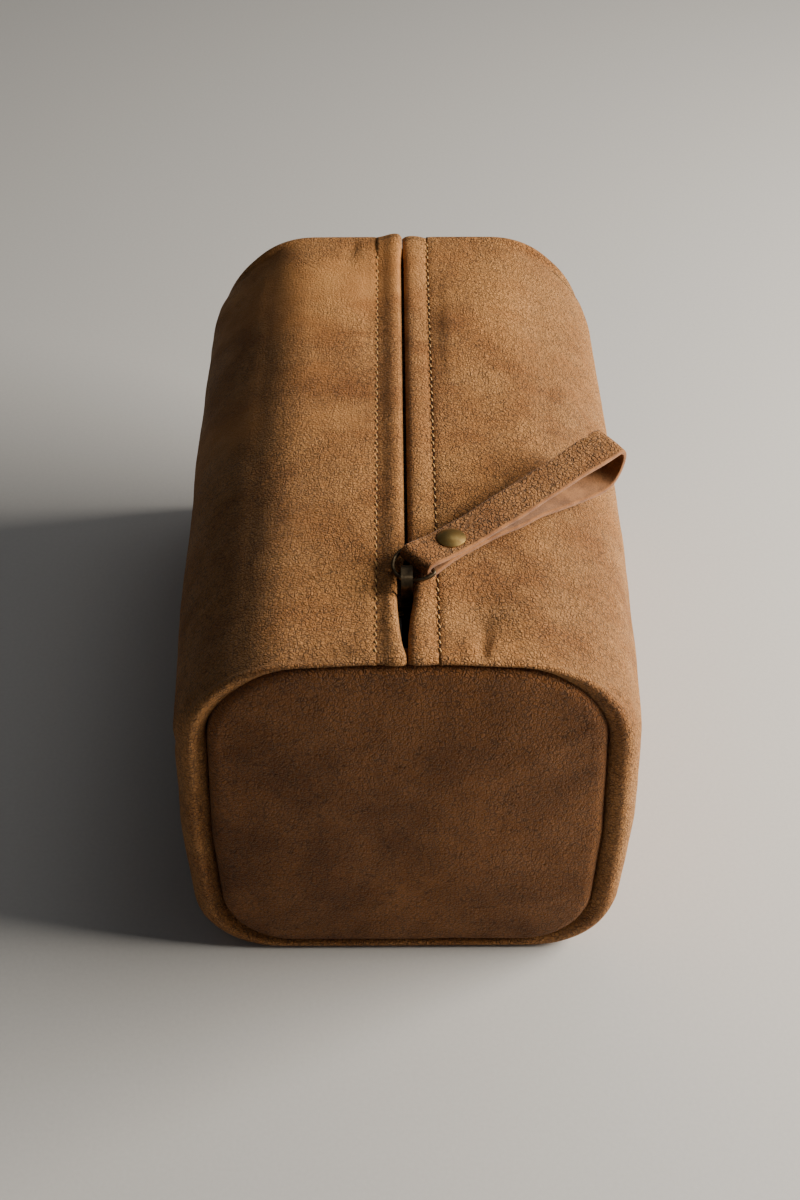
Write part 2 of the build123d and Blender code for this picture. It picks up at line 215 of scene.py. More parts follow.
def normals(points, faces):
    """The normal at each point of a mesh of four-cornered faces."""
    quads = np.array(faces)
    corners = points[quads]
    flat = np.cross(corners[:, 2] - corners[:, 0], corners[:, 3] - corners[:, 1])
    total = np.zeros_like(points)
    for k in range(4):
        np.add.at(total, quads[:, k], flat)
    return total / np.maximum(np.linalg.norm(total, axis=1, keepdims=True), 1e-12)


def turned(faces):
    """The faces with their outsides turned in."""
    return [tuple(reversed(f)) for f in faces]


def facing(points, faces, direction):
    """The faces of a sheet, turned where needed so that on the whole they face that way."""
    return faces if (normals(points, faces) * direction).sum() >= 0 else turned(faces)


def thickened(points, faces, thickness):
    """The open sheet as a closed skin, thickened on the side away from its normals."""
    inner = points - normals(points, faces) * np.reshape(thickness, (-1, 1))
    count = len(points)
    edges = [(f[k], f[(k + 1) % 4]) for f in faces for k in range(4)]
    paired = set(edges)
    walls = [(b, a, a + count, b + count) for a, b in edges if (b, a) not in paired]
    back = [tuple(i + count for i in f) for f in turned(faces)]
    return np.vstack([points, inner]), list(faces) + back + walls


def piece(name, points, faces, body, materials, pick=None, shade=None):
    """A mesh that rides on a body. pick is each face's material, shade the painted light and shade: how much
    lighter each point is.
    """
    mesh = bpy.data.meshes.new(name)
    mesh.from_pydata((np.asarray(points) * MM).tolist(), [], faces)
    for material in materials:
        mesh.materials.append(material)
    mesh.polygons.foreach_set("use_smooth", np.ones(len(faces), bool))
    if pick is not None:
        mesh.polygons.foreach_set("material_index", np.asarray(pick, np.int32))
    if shade is not None:
        layer = mesh.attributes.new("shade", "FLOAT", "POINT")
        layer.data.foreach_set("value", np.asarray(shade, np.float32))
    mesh.validate()
    made = bpy.data.objects.new(name, mesh)
    bpy.context.scene.collection.objects.link(made)
    if body:
        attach(made, body)
    return made


# ======== materials ========
# a Mix node's sockets for colours: how much of the second, the two colours, and the result
MIX_SHARE = 0
MIX_FIRST = 6
MIX_SECOND = 7
MIX_RESULT = 2


def linear(red, green, blue):
    """An sRGB colour, 0 to 255, as the linear values that a shader takes."""
    parts = [c / 255 for c in (red, green, blue)]
    return tuple(c / 12.92 if c <= 0.04045 else ((c + 0.055) / 1.055) ** 2.4 for c in parts) + (1.0,)


def feed(tree, node, values):
    """Joins or sets a node's inputs: each value is a socket to join or a plain value."""
    for key, value in values.items():
        if isinstance(value, bpy.types.NodeSocket):
            tree.links.new(value, node.inputs[key])
        else:
            node.inputs[key].default_value = value


def put(tree, kind, values, **settings):
    """A new shader node with its settings and inputs."""
    made = tree.nodes.new("ShaderNode" + kind)
    for name, value in settings.items():
        setattr(made, name, value)
    feed(tree, made, values)
    return made


def new_material(name):
    """An empty node material, as (material, tree, shader, place in the object)."""
    material = bpy.data.materials.new(name)
    material.use_nodes = True
    tree = material.node_tree
    tree.nodes.clear()
    shader = put(tree, "BsdfPrincipled", {})
    put(tree, "OutputMaterial", {"Surface": shader.outputs["BSDF"]})
    return material, tree, shader, put(tree, "TexCoord", {}).outputs["Object"]


def lumps(tree, where, scale, detail=2.0, roughness=0.5, distortion=0.0):
    """Noise with that many lumps to the metre."""
    values = {"Vector": where, "Scale": scale, "Detail": detail}
    values |= {"Roughness": roughness, "Distortion": distortion}
    return put(tree, "TexNoise", values).outputs["Fac"]


def cracks(tree, where, scale, width, spread_out=1.0):
    """The cells of a cracked surface, that many to the metre: 0 in a crack and 1 on a cell."""
    values = {"Vector": where, "Scale": scale, "Randomness": spread_out}
    cells = put(tree, "TexVoronoi", values, feature="DISTANCE_TO_EDGE")
    return ranged(tree, cells.outputs["Distance"], 0.0, width)


def ranged(tree, value, low, high, to_low=0.0, to_high=1.0):
    """value's range low to high spread over to_low to to_high, smoothly."""
    values = {"Value": value, "From Min": low, "From Max": high, "To Min": to_low, "To Max": to_high}
    return put(tree, "MapRange", values, interpolation_type="SMOOTHSTEP").outputs["Result"]


def math_node(tree, operation, first, *others):
    """The values worked on from left to right."""
    result = first
    for value in others:
        result = put(tree, "Math", {0: result, 1: value}, operation=operation).outputs[0]
    return result


def product(tree, *values):
    return math_node(tree, "MULTIPLY", *values)


def added(tree, *values):
    return math_node(tree, "ADD", *values)


def sine(tree, value, turn):
    """A sine wave of value times turn."""
    return put(tree, "Math", {0: product(tree, value, turn)}, operation="SINE").outputs[0]


def vector_node(tree, operation, values):
    return put(tree, "VectorMath", values, operation=operation).outputs[0]


def blended(tree, share, first, second, mode="MIX"):
    """Two colours mixed by share."""
    values = {MIX_SHARE: share, MIX_FIRST: first, MIX_SECOND: second}
    return put(tree, "Mix", values, data_type="RGBA", blend_type=mode).outputs[MIX_RESULT]


def cover(tree, shader, height, strength, depth, values):
    """Gives the shader its relief, depth in metres, and its other inputs."""
    bump = put(tree, "Bump", {"Height": height, "Strength": strength, "Distance": depth})
    feed(tree, shader, {"Normal": bump.outputs["Normal"], **values})


def leather(name, dark, middle, light, grain, grain_depth, coarse_from, crease_shade):
    """Nubuck leather: mottled colour, a pebbled grain that comes and goes, and a fine nap."""
    material, tree, shader, where = new_material(name)
    swirl = put(tree, "TexNoise", {"Vector": where, "Scale": 260.0, "Detail": 2.0}).outputs["Color"]
    shift = vector_node(tree, "SUBTRACT", {0: swirl, 1: (0.5, 0.5, 0.5)})
    shift = vector_node(tree, "SCALE", {0: shift, "Scale": 0.0016})
    bent = vector_node(tree, "ADD", {0: where, 1: shift})
    pebble = cracks(tree, bent, grain, 0.2, 0.95)
    crumb = cracks(tree, bent, grain * 2.3, 0.3)
    broken = ranged(tree, lumps(tree, where, 620.0, 2.0, 0.6), 0.36, 0.62, 0.35, 1.0)
    nap = lumps(tree, where, 4200.0, 4.0, 0.65)

    # where the grain stands out: patches, and more of it towards the front and the right
    patch = lumps(tree, where, 26.0, 3.0, 0.55)
    split = put(tree, "SeparateXYZ", {"Vector": where})
    forward = ranged(tree, split.outputs["Y"], 0.02, -0.1, 0.0, 0.32)
    rightward = ranged(tree, split.outputs["X"], -0.02, 0.05, 0.0, 0.2)
    strong = ranged(tree, added(tree, patch, forward, rightward, coarse_from), 0.42, 0.74, 0.25, 1.0)

    # colour: big clouds, smaller smudges, speckle, painted shade in the grain's creases, and the painted
    # light and shade that the shape's shade attribute adds
    clouds = ranged(tree, lumps(tree, where, 13.0, 3.0, 0.6, 0.4), 0.32, 0.68)
    smudge = ranged(tree, lumps(tree, where, 55.0, 4.0, 0.62, 0.3), 0.3, 0.72)
    colour = blended(tree, clouds, dark, middle)
    colour = blended(tree, product(tree, smudge, 0.6), colour, light)
    speckle = ranged(tree, lumps(tree, where, 1500.0, 3.0, 0.7), 0.3, 0.7, 0.9, 1.07)
    # painted shade: the grain's creases are darkened, most where the grain stands out
    crease = product(tree, math_node(tree, "SUBTRACT", 1.0, pebble), strong, broken, crease_shade)
    # painted light and shade from the shape, read from each mesh's shade attribute
    painted_light_and_shade = put(tree, "Attribute", {}, attribute_name="shade").outputs["Fac"]
    tone = product(tree, speckle, math_node(tree, "SUBTRACT", 1.0, crease), added(tree, 1.0, painted_light_and_shade))
    level = put(tree, "CombineColor", {0: tone, 1: tone, 2: tone}).outputs[0]

    height = added(tree, product(tree, pebble, broken), product(tree, crumb, 0.3))
    height = added(tree, product(tree, height, strong), product(tree, nap, 0.3))
    cover(tree, shader, height, 0.9, grain_depth, {
        "Base Color": blended(tree, 1.0, colour, level, "MULTIPLY"),
        "Roughness": ranged(tree, smudge, 0.0, 1.0, 0.78, 0.66),
        "Specular IOR Level": 0.3,
        "Sheen Weight": 0.18,
        "Sheen Roughness": 0.45,
        "Sheen Tint": linear(232, 196, 150),
    })
    return material


def raw_leather(name, base, dark):
    """The flesh side or a cut edge: matt, fibrous, unevenly coloured."""
    material, tree, shader, where = new_material(name)
    fuzz = lumps(tree, where, 2200.0, 5.0, 0.7)
    band = lumps(tree, where, 170.0, 3.0)
    mixed = product(tree, added(tree, fuzz, band), 0.5)
    cover(tree, shader, fuzz, 0.8, 0.00016, {
        "Base Color": blended(tree, ranged(tree, mixed, 0.36, 0.64), dark, base),
        "Roughness": 0.92,
        "Specular IOR Level": 0.2,
        "Sheen Weight": 0.25,
    })
    return material


def cloth(name, base, thread, pitch, slant=0.0):
    """Woven cloth with that many threads to the metre. slant turns a plain weave into a herringbone."""
    material, tree, shader, where = new_material(name)
    split = put(tree, "SeparateXYZ", {"Vector": where})
    warp_at = added(tree, split.outputs["X"], split.outputs["Z"])
    zigzag = put(tree, "Math", {0: warp_at, 1: 0.0016}, operation="PINGPONG").outputs[0]
    weft_at = added(tree, split.outputs["Y"], product(tree, zigzag, slant))
    warp = sine(tree, warp_at, pitch * 2 * math.pi)
    weft = sine(tree, weft_at, pitch * 2 * math.pi)
    woven = ranged(tree, product(tree, warp, weft), -1.0, 1.0)
    fuzz = lumps(tree, where, 3500.0, 3.0, 0.7)
    height = added(tree, woven, product(tree, fuzz, 0.5))
    cover(tree, shader, height, 0.7, 0.00015, {
        "Base Color": blended(tree, product(tree, added(tree, woven, fuzz), 0.5), base, thread),
        "Roughness": 0.9,
        "Sheen Weight": 0.3,
    })
    return material


def yarn(name, base, dark):
    """Waxed, twisted thread."""
    material, tree, shader, where = new_material(name)
    split = put(tree, "SeparateXYZ", {"Vector": where})
    twist = added(tree, split.outputs["Y"], product(tree, split.outputs["X"], 0.8))
    ply = ranged(tree, sine(tree, twist, 2 * math.pi / 0.00055), -1.0, 1.0)
    fuzz = lumps(tree, where, 900.0, 3.0, 0.7)
    cover(tree, shader, ply, 0.8, 0.00012, {
        "Base Color": blended(tree, product(tree, added(tree, ply, fuzz), 0.55), dark, base),
        "Roughness": 0.7,
        "Specular IOR Level": 0.25,
        "Sheen Weight": 0.05,
    })
    return material


def old_metal(name, tarnish, metal, shine, wear_scale, wear_range):
    """Antique plated metal: dark tarnish rubbed through to the bright metal in places."""
    material, tree, shader, where = new_material(name)
    rubbed = ranged(tree, lumps(tree, where, wear_scale, 4.0, 0.6, 0.3), *wear_range)
    fine = lumps(tree, where, 5200.0, 3.0, 0.7)
    matt = ranged(tree, rubbed, 0.0, 1.0, shine + 0.14, shine)
    cover(tree, shader, added(tree, fine, rubbed), 0.25, 0.00004, {
        "Base Color": blended(tree, rubbed, tarnish, metal),
        "Roughness": added(tree, matt, product(tree, fine, 0.12)),
        "Metallic": 1.0,
    })
    return material


def plain(name, dark, light, scale, detail, roughness):
    """A matt surface of two close colours."""
    material, tree, shader, where = new_material(name)
    colour = blended(tree, lumps(tree, where, scale, detail), dark, light)
    feed(tree, shader, {"Base Color": colour, "Roughness": roughness})
    return material


wrap_leather = leather(
    "tan_nubuck",
    dark=linear(150, 92, 42),
    middle=linear(186, 124, 64),
    light=linear(208, 148, 84),
    grain=820.0,
    grain_depth=0.0007,
    coarse_from=0.08,
    crease_shade=0.62,
)
# the wrap's nubuck in a darker tone: painted shade of the end panels
shaded_panel_leather = leather(
    "tan_nubuck_shaded_panel",
    dark=linear(104, 58, 21),
    middle=linear(134, 80, 32),
    light=linear(154, 96, 42),
    grain=780.0,
    grain_depth=0.0006,
    coarse_from=0.12,
    crease_shade=0.6,
)
pull_leather = leather(
    "tan_pull_leather",
    dark=linear(134, 82, 38),
    middle=linear(168, 110, 58),
    light=linear(188, 130, 74),
    grain=720.0,
    grain_depth=0.0006,
    coarse_from=0.5,
    crease_shade=0.75,
)
flesh_side = raw_leather("leather_flesh_side", linear(158, 106, 60), linear(108, 68, 34))
cut_edge = raw_leather("leather_cut_edge", linear(160, 106, 60), linear(112, 70, 38))
lining_cloth = cloth("lining_cotton", linear(52, 46, 40), linear(74, 66, 58), 1500.0)
tape_cloth = cloth("zip_tape_weave", linear(30, 25, 21), linear(52, 44, 37), 1900.0, 1.0)
seam_thread = yarn("tan_thread", linear(236, 190, 122), linear(204, 152, 88))
# painted shade: the dark of the needle holes, on nearly flat dimples
needle_hole_shade = plain("needle_hole_shade", linear(36, 14, 6), linear(52, 22, 10), 900.0, 2.0, 0.95)
dark_brass = old_metal(
    "dark_antique_brass",
    tarnish=linear(62, 52, 40),
    metal=linear(150, 128, 96),
    shine=0.24,
    wear_scale=240.0,
    wear_range=(0.4, 0.8),
)
tooth_brass = old_metal(
    "zip_tooth_brass",
    tarnish=linear(58, 47, 35),
    metal=linear(140, 112, 72),
    shine=0.36,
    wear_scale=900.0,
    wear_range=(0.45, 0.7),
)
rivet_brass = old_metal(
    "rivet_brass",
    tarnish=linear(144, 113, 64),
    metal=linear(188, 158, 98),
    shine=0.32,
    wear_scale=260.0,
    wear_range=(0.3, 0.7),
)


# ======== the wrap ========
def valley(x, y, start, end, width, depth):
    """A crease pressed in along a line, deepest and narrowest at its start."""
    line = np.subtract(end, start)
    length = np.linalg.norm(line)
    line = line / length
    t = np.clip(((x - start[0]) * line[0] + (y - start[1]) * line[1]) / length, 0, 1)
    away = np.hypot(x - start[0] - t * length * line[0], y - start[1] - t * length * line[1])
    return -depth * (1 - t) ** 0.8 * np.exp(-((away / (width * (1 + 1.8 * t))) ** 2))


def hollow(x, y, centre, size, depth):
    """A soft dent, or a rise where depth is below 0."""
    return -depth * np.exp(-(((x - centre[0]) / size[0]) ** 2) - ((y - centre[1]) / size[1]) ** 2)


# creases that run in from the two rims: (start, end, width, depth)
PUCKERS = (
    ((22.2, -120.0), (23.6, -93.0), 1.25, 1.5),
    ((-17.2, -120.0), (-21.0, -111.0), 0.8, 0.75),
    ((-20.6, -120.0), (-26.0, -110.0), 0.9, 0.8),
    ((-24.6, -120.0), (-30.0, -112.5), 0.8, 0.5),
    ((14.4, -120.0), (15.0, -113.0), 0.8, 0.35),
    ((-18.0, 120.0), (-20.5, 100.0), 1.3, 1.1),
    ((25.0, 120.0), (29.0, 107.0), 1.0, 0.8),
    ((29.5, 120.0), (34.0, 109.0), 0.9, 0.5),
)
WRINKLE = 2.7  # from one cross wrinkle by the dent to the next


def wrap_relief(points):
    """How far the wrap's soft leather stands out or dips, in millimetres."""
    x, y, z = points.T
    on_top = smooth(z, 100, 118)
    by_groove = np.where(z > 90, smooth(np.abs(x), 10.5, 17.0), 1.0)
    off_floor = smooth(z, 1.0, 18.0)
    # slow waves, a swell in the far half, and the fall from the mouth to the shoulders
    slow = 0.75 * cloud(points * (1, 0.7, 1), 46.0, 3.0) + 0.35 * cloud(points, 21.0, 9.0)
    slow += 0.1 * cloud(points, 6.5, 15.0)
    slow += 1.7 * np.exp(-(((np.abs(x) - 28) / 18) ** 2) - ((y - 66) / 42) ** 2) * on_top
    slow -= 1.7 * np.clip((np.abs(x) - 10) / 34, 0, 1.2) ** 2 * smooth(z, 96, 124)
    # flat under the strap
    pull_rests = np.abs((x - BAR[0]) * HEADING[1] - (y - BAR[1]) * HEADING[0]) < 9.0
    slow = np.where(pull_rests & (x > 14) & (x < 56) & (z > 100), np.minimum(slow, 0.1), slow)
    # the dent beside the slider and its lips, the puckers, and the cross wrinkles
    creases = hollow(x, y, (22.5, -96.0), (8.0, 11.0), 1.5)
    creases += hollow(x, y, (17.6, -116.0), (2.6, 9.0), -0.55)
    creases += hollow(x, y, (27.6, -117.0), (3.4, 7.0), -0.4)
    for start, end, width, depth in PUCKERS:
        creases += valley(x, y, start, end, width, depth)
    arc = y + 0.84 * cloud(points, 5.0, 21.0) - 0.014 * (x - 26) ** 2
    creases += hollow(x, y, (26.0, -94.0), (8.5, 8.0), -0.25) * np.sin(arc * 2 * math.pi / WRINKLE)
    # long sags in the sides
    side = (1 - on_top) * off_floor
    sag = valley(y, z, (-112.0, 104.0), (10.0, 98.0), 3.2, 0.8) * (x > 0)
    sag += valley(y, z, (-114.0, 92.0), (-40.0, 60.0), 3.0, 0.6) * (x < 0)
    sag += valley(y, z, (112.0, 98.0), (30.0, 84.0), 3.4, 0.7)
    # the groove that the stitches lie in
    groove = -GROOVE_DEPTH * np.exp(-(((np.abs(x) - STITCH_X) / 0.95) ** 2)) * on_top
    groove *= 1 - 0.6 * smooth(np.abs(y), 116.5, 119.5)
    inside_ends = smooth(HALF + 0.6 - np.abs(y), 0.0, 3.0)
    creases *= 1 - 0.45 * smooth(np.abs(y), 113.0, 118.5)
    return (slow * by_groove * off_floor + creases * by_groove * on_top + sag * side) * inside_ends + groove


def fullness(y):
    """How far the wrap has widened from its ends to its full width, from 0 to 1."""
    rear = (HALF + REAR_BULGE - y) / (HALF + REAR_BULGE - FULL_TO)
    t = np.clip(np.minimum((y + HALF) / (HALF + FULL_FROM), rear), 0, 1)
    return 1.5 * t - 0.5 * t * t


def far_rise(y):
    """How much the top rises towards its far end, past the end of the slider's travel."""
    return FAR_RISE * smooth(y, 92.0, 113.0)


def domed(points):
    """The points with the middle of the top lifted towards its near end, seam and all."""
    x, y, z = points.T
    share = smooth(-y, 100.0, 117.0) * (1 - smooth(np.abs(x), 4.0, 46.0)) * smooth(z, 75.0, 125.0)
    return points + NEAR_RISE * share[:, None] * UP


def wrap_grid():
    """The wrap's outer face: from one stitched groove down round the bag to the other, over both rims."""
    body_path = opened(outline(BODY_ROUNDS), GROOVE_X)
    end_path = opened(outline(END_ROUNDS), GROOVE_X)
    panel_path = opened(outline(PANEL_ROUNDS), GROOVE_X)

    def round_pitch(at):
        return np.where((at[:, 1] > 112) & (at[:, 0] > -36), 0.9, 1.9)

    at = spread(body_path, round_pitch)
    body, end, panel = (along(path, at) for path in (body_path, end_path, panel_path))
    rim = np.linalg.norm(end - panel, axis=1)
    roll = np.maximum(0.9 * rim, FOLD_ROLL)
    start = HALF + RIM - roll
    rear_start = start + REAR_BULGE

    def row(share, y):
        flat = end + (body - end) * fullness(y)[:, None] + (panel - end) * share
        return np.stack([flat[:, 0], y, flat[:, 1]], 1)

    turns = np.linspace(SEAM_TURN, 0, 16)[:-1]
    end_rows = [(1.0, np.full(len(at), y)) for y in (HALF - HEM_DEPTH, HALF - HEM_DEPTH / 2)]
    for turn in turns:
        share = (1 - math.cos(turn)) / (1 - math.cos(SEAM_TURN))
        end_rows.append((share, start + roll * math.sin(turn)))

    def long_pitch(at):
        return np.where(at[:, 0] < -78, 0.9, 2.0)

    lengthwise = np.array([(-HALF, 0.0), (HALF, 0.0)])
    straight = along(lengthwise, spread(lengthwise, long_pitch))[:, 0] / HALF
    rows = [row(share, -y) for share, y in end_rows]
    rows += [row(0.0, t * np.where(t > 0, rear_start, start)) for t in straight]
    rows += [row(share, y + REAR_BULGE * (y > HALF - HEM_DEPTH / 2)) for share, y in reversed(end_rows)]
    return np.array(rows), rim


def make_wrap():
    grid, rim = wrap_grid()
    rows, columns, _ = grid.shape
    points = grid.reshape(-1, 3)
    faces = grid_faces(rows, columns)
    relief = wrap_relief(points)
    outward = normals(points, faces)
    outer = smooth(outward[:, 0] * points[:, 0] + outward[:, 2] * (points[:, 2] - WIDEST_Z), -20.0, 20.0)
    points = points + outward * (relief * (2 * outer - 1))[:, None]
    points[:, 2] += far_rise(points[:, 1]) * outer * smooth(points[:, 2], TOP - 10.0, TOP - 0.5)
    points = domed(points)
    hem = np.tile(np.minimum(LEATHER, 0.3 * rim), rows)
    at_ends = smooth(np.abs(points[:, 1]), HALF - 9, HALF - 4)
    thickness = LEATHER + (hem - LEATHER) * at_ends
    # painted light and shade: lighter where the leather stands out, darker in its dips and creases and where
    # it rolls into the end seams
    shade = np.clip(relief * 0.1, -0.22, 0.08) - 0.1 * smooth(np.abs(points[:, 1]), HALF - 3.5, HALF)
    skin, skin_faces = thickened(points, faces, thickness)
    pick = np.arange(len(skin_faces)) >= len(faces)
    materials = [wrap_leather, flesh_side]
    made = piece("body_leather", skin, skin_faces, "bag", materials, pick, np.tile(shade, 2))
    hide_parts("body_panel")


make_wrap()


# ======== the end panels ========
PANEL_CREASES = (
    ((54.0, 106.0), (38.0, 97.0), 1.6, 0.5),
    ((57.0, 98.0), (44.0, 92.0), 1.5, 0.4),
    ((-57.0, 96.0), (-45.0, 98.0), 1.6, 0.4),
)


def disc_rings(count):
    """A square grid's points as (ring, share round it): ring 0 is the middle, 1 the edge. No pole."""
    line = np.linspace(-1, 1, 2 * count + 1)
    s, t = np.meshgrid(line, line)
    ring = np.maximum(np.abs(s), np.abs(t))
    safe = np.maximum(ring, 1e-9)
    u, v = s / safe, t / safe
    share = np.where(v >= np.abs(u) - 1e-9, u / 8, 0.0)
    share = np.where((u > np.abs(v)), 0.25 - v / 8, share)
    share = np.where((-v >= np.abs(u) - 1e-9), 0.5 - u / 8, share)
    share = np.where((-u > np.abs(v)), 0.75 + v / 8, share)
    return ring, share % 1.0


def closed_path(rounds, inset):
    """The closed outline from its top middle, clockwise."""
    ring = outline(rounds, inset)
    top = np.array([(0.0, ring[0, 1])])
    return np.vstack([top, ring, top])


def panel_swell(depth_in):
    """How far the panel stands out, by the distance in from its seam."""
    t = np.clip(depth_in / 56.0, 0, 1)
    return PUFF * (1 - (1 - t) ** 2)


def panel_grid():
    """The front of a panel that faces +Y, as (points, faces, how many points are in its flat field)."""
    count = 44
    crown = HALF + 1.3
    tuck = 0.35  # how far in from the outline the panel's edge runs
    ring, share = disc_rings(count)
    edge = along(closed_path(PANEL_ROUNDS, PANEL_ROLL), share.ravel())
    middle = np.array([(0.0, MIDDLE_Z)])
    flat = middle + (edge - middle) * ring.reshape(-1, 1)
    away = np.linalg.norm(edge - middle, axis=1) * (1 - ring.ravel())
    field = np.stack([flat[:, 0], crown + panel_swell(PANEL_ROLL + away), flat[:, 1]], 1)
    side = 2 * count + 1
    index = np.arange(side * side).reshape(side, side)
    border = np.concatenate([
        index[-1, count:], index[-2::-1, -1], index[0, -2::-1], index[1:, 0], index[-1, 1:count],
    ])
    border_share = share.ravel()[border]

    # loops that roll over the edge, and then run straight back into the seam
    loops = []
    for angle in np.radians(np.linspace(90, 0, 9)[1:]):
        inset = PANEL_ROLL * (1 - math.cos(angle)) + tuck
        loops.append((inset, crown + panel_swell(inset) - PANEL_ROLL * 0.9 * (1 - math.sin(angle))))
    loops += [(tuck, HALF - 3.0), (tuck, HALF - HEM_DEPTH)]
    points, faces, inner = [field], grid_faces(side, side), border
    for n, (inset, y) in enumerate(loops):
        loop = along(closed_path(PANEL_ROUNDS, inset), border_share)
        points.append(np.stack([loop[:, 0], np.full(len(loop), y), loop[:, 1]], 1))
        outer = len(field) + n * len(border) + np.arange(len(border))
        corners = np.stack([inner, np.roll(inner, -1), np.roll(outer, -1), outer], 1)
        faces += [tuple(f) for f in corners.tolist()]
        inner = outer
    return np.vstack(points), faces, len(field)


def make_end_panel(name, node, sign, seed):
    points, faces, field = panel_grid()
    points[:, 1] *= sign
    if (normals(points, faces)[:field, 1] * sign).mean() < 0:
        faces = turned(faces)
    x, y, z = points.T
    relief = 0.6 * cloud(points, 34.0, seed) + 0.22 * cloud(points, 12.0, seed + 5)
    for start, end, width, depth in PANEL_CREASES:
        relief += valley(x, z, start, end, width, depth)
    relief *= smooth(np.abs(y), HALF - 1.5, HALF + 1.0)
    points = domed(points + normals(points, faces) * relief[:, None])
    # painted shade in the panel's creases and dips and in its seam, painted light where it stands out
    in_seam = 1 - smooth(np.abs(points[:, 1]), HALF - 1.5, HALF + 0.8)
    shade = np.clip(relief * 0.08, -0.12, 0.06) - 0.25 * in_seam
    skin, skin_faces = thickened(points, faces, 1.3)
    pick = np.arange(len(skin_faces)) >= len(faces)
    materials = [shaded_panel_leather, flesh_side]
    made = piece(name, skin, skin_faces, "bag", materials, pick, np.tile(shade, 2))
    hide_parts(node)


make_end_panel("front_panel_leather", "front_end_panel", -1, seed=31.0)
make_end_panel("rear_panel_leather", "rear_end_panel", 1, seed=47.0)


# ======== the folded edges of the mouth ========
def gap_edge(side, y):
    """How far the edge of a fold is from the bag's middle, at y: wide at the slider, closed beyond it."""
    widths = GAP_RIGHT if side > 0 else GAP_LEFT
    offsets = np.linspace(-3, 3, 13)
    weights = np.exp(-(offsets / 1.6) ** 2)
    total = sum(w * np.interp(y + o, GAP_PLACES, widths) for w, o in zip(weights, offsets))
    return total / weights.sum()


# each fold's upper side, from the stitched groove to the gap: (x, height), where a height above 0
# is a share of the crest's and one below 0 is in millimetres
SLOPE = {
    1: (
        (9.4, -0.55), (8.6, -0.2), (7.4, 0.3), (6.2, 0.75), (5.0, 0.97), (3.5, 1.0), (2.2, 0.7), (1.2, 0.0),
    ),
    -1: (
        (9.4, -0.55), (8.6, -0.3), (7.4, 0.02), (6.2, 0.38), (5.0, 0.74), (3.8, 0.97), (2.6, 1.0),
        (1.6, 0.75), (1.0, 0.1),
    ),
}


def fold_section(side, gap):
    """Across a folded edge, (x, height above TOP): from the stitches over the crest and back below."""
    squeeze = (GROOVE_X + 0.1 - gap) / (GROOVE_X - 0.4)
    knots = [(FOLD_TUCK, -1.35)]
    knots += [(gap + (x - 0.5) * squeeze, CREST[side] * h if h > 0 else h) for x, h in SLOPE[side]]
    knots += [
        (gap + 0.06, -0.7),
        (gap, -1.3),
        (gap + 0.25, -2.1),
        (gap + 1.1, -2.8),
        (gap + 3.0, -FOLD_UNDER),
        (FOLD_TUCK, -FOLD_UNDER),
    ]
    return curve(knots, 0.42)


def make_fold(name, side, places):
    """One stretch of a folded edge. places are its (y, share of the way over the rim) along the bag."""
    width = 60
    loops = []
    for y, over in places:
        gap = gap_edge(side, min(max(y, -HALF), HALF))
        x, height = along(fold_section(side, gap), np.linspace(0, 1, width)).T
        height = height * (1 - 0.55 * over)
        turn = over * SEAM_TURN
        reach = (FOLD_ROLL + np.maximum(height, -1.6) * math.sin(turn)) * math.sin(turn)
        drop = (1 - math.cos(turn)) / (1 - math.cos(SEAM_TURN)) * (TOP - PANEL_TOP)
        rise = (far_rise(y) + FAR_CREST[side] * smooth(y, 104.0, 116.0)) * (1 - over)
        level = TOP - drop + rise + height * math.cos(min(turn, 0.6 * SEAM_TURN))
        loops.append(np.stack([side * x, y + math.copysign(1, y) * reach, level], 1))
    points = np.vstack(loops)
    faces = grid_faces(len(loops), width, close_columns=True)
    faces.append(tuple(range(width)))
    faces.append(tuple(range((len(loops) - 1) * width, len(loops) * width)))
    wave = 0.1 * cloud(points, 9.0, 61.0) + 0.16 * cloud(points, 26.0, 67.0)
    calm = 1 - smooth(np.abs(points[:, 0]), 6.5, 8.6)
    upper = smooth(points[:, 2], TOP - 2.0, TOP)
    points[:, 2] += wave * calm * upper
    # painted light on the fold's crest, painted shade on its side and underside below the top
    crest = smooth(points[:, 2], TOP + 0.2, TOP + 1.1)
    shade = 0.07 * crest - 0.14 * (1 - smooth(points[:, 2], TOP - 1.6, TOP - 0.1))
    return piece(name, domed(points), faces, None, [wrap_leather], None, shade)


def make_folds():
    """Each folded edge in four stretches: near rim, parted at the slider, closed beyond it, and far rim."""
    over_rim = [(HALF + RIM - FOLD_ROLL, share) for share in np.linspace(0, 1, 12)]
    over_rear = [(y + REAR_BULGE, share) for y, share in over_rim]
    near_rows = [(-y, share) for y, share in reversed(over_rim)]
    near_rows += [(y, 0.0) for y in np.linspace(FOLD_ROLL - HALF - RIM, PARTING[0], 4)[1:]]
    parted_rows = [(y, 0.0) for y in np.linspace(PARTING[0], PARTED_END, 60)]
    closed_rows = [(y, 0.0) for y in np.linspace(PARTED_END, FAR_FOLD, 127)]
    far_rows = [(FAR_FOLD - 0.4, 0.0)] + over_rear
    for side, word in SIDES:
        near = make_fold(f"mouth_fold_{word}_near", side, near_rows)
        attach(near, "bag")
        parted = make_fold(f"mouth_fold_{word}_parted", side, parted_rows)
        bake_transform(parted)
        closed = make_fold(f"mouth_fold_{word}_closed", side, closed_rows)
        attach(closed, "bag")
        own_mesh(closed)
        far = make_fold(f"mouth_fold_{word}_far", side, far_rows)
        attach(far, "bag")


make_folds()


